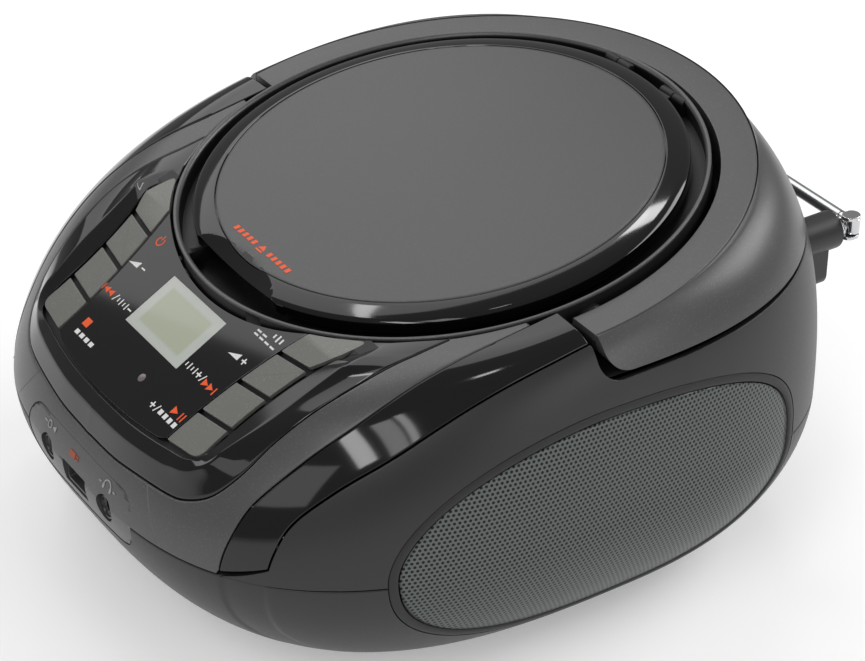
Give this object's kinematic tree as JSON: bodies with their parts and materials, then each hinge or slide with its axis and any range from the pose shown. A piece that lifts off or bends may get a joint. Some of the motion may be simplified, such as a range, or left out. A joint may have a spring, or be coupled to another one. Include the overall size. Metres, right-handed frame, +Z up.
{
  "type": "cd boombox",
  "caption": "Portable disc player with a tilting round lid, a folding carry handle, side speakers, sprung control keys and a telescopic antenna.",
  "frame": {"origin": "on the floor under the middle of the whole length and width, the antenna folded", "axes": "+X to the right seen from the front, +Y to the rear, +Z up; the controls face -Y"},
  "size_m": [0.2126, 0.2376, 0.1244],
  "materials": {
    "matte": "fine matte",
    "charcoal": "soft satin with a fine metallic fleck",
    "gloss": "polished black",
    "key": "satin",
    "lens": "polished dark window",
    "lcd": "reflective display",
    "metal": "bright",
    "grille": "satin, finely perforated",
    "rubber": "matte",
    "board": "coated board",
    "cone": "matte",
    "infrared": "smoked"
  },
  "bodies": {
    "cabinet": {"lower_cabinet": "matte", "upper_cabinet": "matte", "front_cover": "charcoal", "gloss_band_l": "gloss", "gloss_band_r": "gloss", "control_frame": "gloss", "panel_base": "matte", "display_lens": "lens", "lcd_panel": "lcd", "ir_window": "infrared", "control_board": "board", "jack_panel": "charcoal", "aux_jack": "rubber", "phones_jack": "rubber", "usb_socket": "metal", "deck": "charcoal", "lid_pin_l": "metal", "lid_pin_r": "metal", "cd_chassis": "metal", "guide_rod_l": "metal", "guide_rod_r": "metal", "grille_frame_l": "matte", "grille_frame_r": "matte", "grille_l": "grille", "grille_r": "grille", "speaker_l": "cone", "speaker_r": "cone", "battery_case": "matte", "foot_front_l": "rubber", "foot_front_r": "rubber", "foot_rear_l": "rubber", "foot_rear_r": "rubber", "mains_inlet": "matte", "transformer": "metal", "main_board": "board"},
    "lid": {"lid_rim": "gloss", "lid_top": "charcoal"},
    "handle": {"handle_strip": "charcoal", "handle_shell": "charcoal", "handle_pin_l": "metal", "handle_pin_r": "metal"},
    "key_left_1": {"key_l1": "key"},
    "key_left_2": {"key_l2": "key"},
    "key_left_3": {"key_l3": "key"},
    "key_left_4": {"key_l4": "key"},
    "key_right_1": {"key_r1": "key"},
    "key_right_2": {"key_r2": "key"},
    "key_right_3": {"key_r3": "key"},
    "key_right_4": {"key_r4": "key"},
    "spindle": {"cd_spindle": "matte"},
    "sled": {"laser_sled": "matte"},
    "battery_lid": {"battery_door": "matte"},
    "antenna_base": {"antenna_swivel": "metal"},
    "antenna_arm": {"antenna_knuckle": "metal", "antenna_section_1": "metal"},
    "antenna_tube_2": {"antenna_section_2": "metal"},
    "antenna_tube_3": {"antenna_section_3": "metal"},
    "antenna_tube_4": {"antenna_section_4": "metal"}
  },
  "joints": [
    {"name": "lid_hinge", "type": "hinge", "parent": "cabinet", "child": "lid", "pos_m": [0, 0.08439, 0.12124], "axis": [-1, 0, 0], "range_deg": [0, 65]},
    {"name": "handle_hinge", "type": "hinge", "parent": "cabinet", "child": "handle", "pos_m": [0, 0.0054, 0.1035], "axis": [1, 0, 0], "range_deg": [0, 90]},
    {"name": "key_left_1_press", "type": "slide", "parent": "cabinet", "child": "key_left_1", "axis": [0, 0.4908, -0.8713], "range_m": [0, 0.0008], "stiffness_N_per_m": 500},
    {"name": "key_left_2_press", "type": "slide", "parent": "cabinet", "child": "key_left_2", "axis": [0, 0.4908, -0.8713], "range_m": [0, 0.0008], "stiffness_N_per_m": 500},
    {"name": "key_left_3_press", "type": "slide", "parent": "cabinet", "child": "key_left_3", "axis": [0, 0.4908, -0.8713], "range_m": [0, 0.0008], "stiffness_N_per_m": 500},
    {"name": "key_left_4_press", "type": "slide", "parent": "cabinet", "child": "key_left_4", "axis": [0, 0.4908, -0.8713], "range_m": [0, 0.0008], "stiffness_N_per_m": 500},
    {"name": "key_right_1_press", "type": "slide", "parent": "cabinet", "child": "key_right_1", "axis": [0, 0.4908, -0.8713], "range_m": [0, 0.0008], "stiffness_N_per_m": 500},
    {"name": "key_right_2_press", "type": "slide", "parent": "cabinet", "child": "key_right_2", "axis": [0, 0.4908, -0.8713], "range_m": [0, 0.0008], "stiffness_N_per_m": 500},
    {"name": "key_right_3_press", "type": "slide", "parent": "cabinet", "child": "key_right_3", "axis": [0, 0.4908, -0.8713], "range_m": [0, 0.0008], "stiffness_N_per_m": 500},
    {"name": "key_right_4_press", "type": "slide", "parent": "cabinet", "child": "key_right_4", "axis": [0, 0.4908, -0.8713], "range_m": [0, 0.0008], "stiffness_N_per_m": 500},
    {"name": "spindle_spin", "type": "hinge", "parent": "cabinet", "child": "spindle", "pos_m": [0, 0.0077, 0.112], "axis": [0, -0.153, 0.9882], "continuous": true},
    {"name": "sled_slide", "type": "slide", "parent": "cabinet", "child": "sled", "axis": [0, -0.9882, -0.153], "range_m": [0, 0.028]},
    {"name": "battery_lid_hinge", "type": "hinge", "parent": "cabinet", "child": "battery_lid", "pos_m": [0, 0.0556, 0.0033], "axis": [1, 0, 0], "range_deg": [0, 80]},
    {"name": "antenna_swing", "type": "hinge", "parent": "cabinet", "child": "antenna_base", "pos_m": [0.0593, 0.1129, 0.088], "axis": [0, 1, 0], "range_deg": [0, 180]},
    {"name": "antenna_tilt", "type": "hinge", "parent": "antenna_base", "child": "antenna_arm", "pos_m": [0.0638, 0.1167, 0.0903], "axis": [0, 0, -1], "range_deg": [0, 90]},
    {"name": "antenna_pull_2", "type": "slide", "parent": "antenna_arm", "child": "antenna_tube_2", "axis": [-1, 0, 0], "range_m": [0, 0.13]},
    {"name": "antenna_pull_3", "type": "slide", "parent": "antenna_tube_2", "child": "antenna_tube_3", "axis": [-1, 0, 0], "range_m": [0, 0.13]},
    {"name": "antenna_pull_4", "type": "slide", "parent": "antenna_tube_3", "child": "antenna_tube_4", "axis": [-1, 0, 0], "range_m": [0, 0.13]}
  ]
}
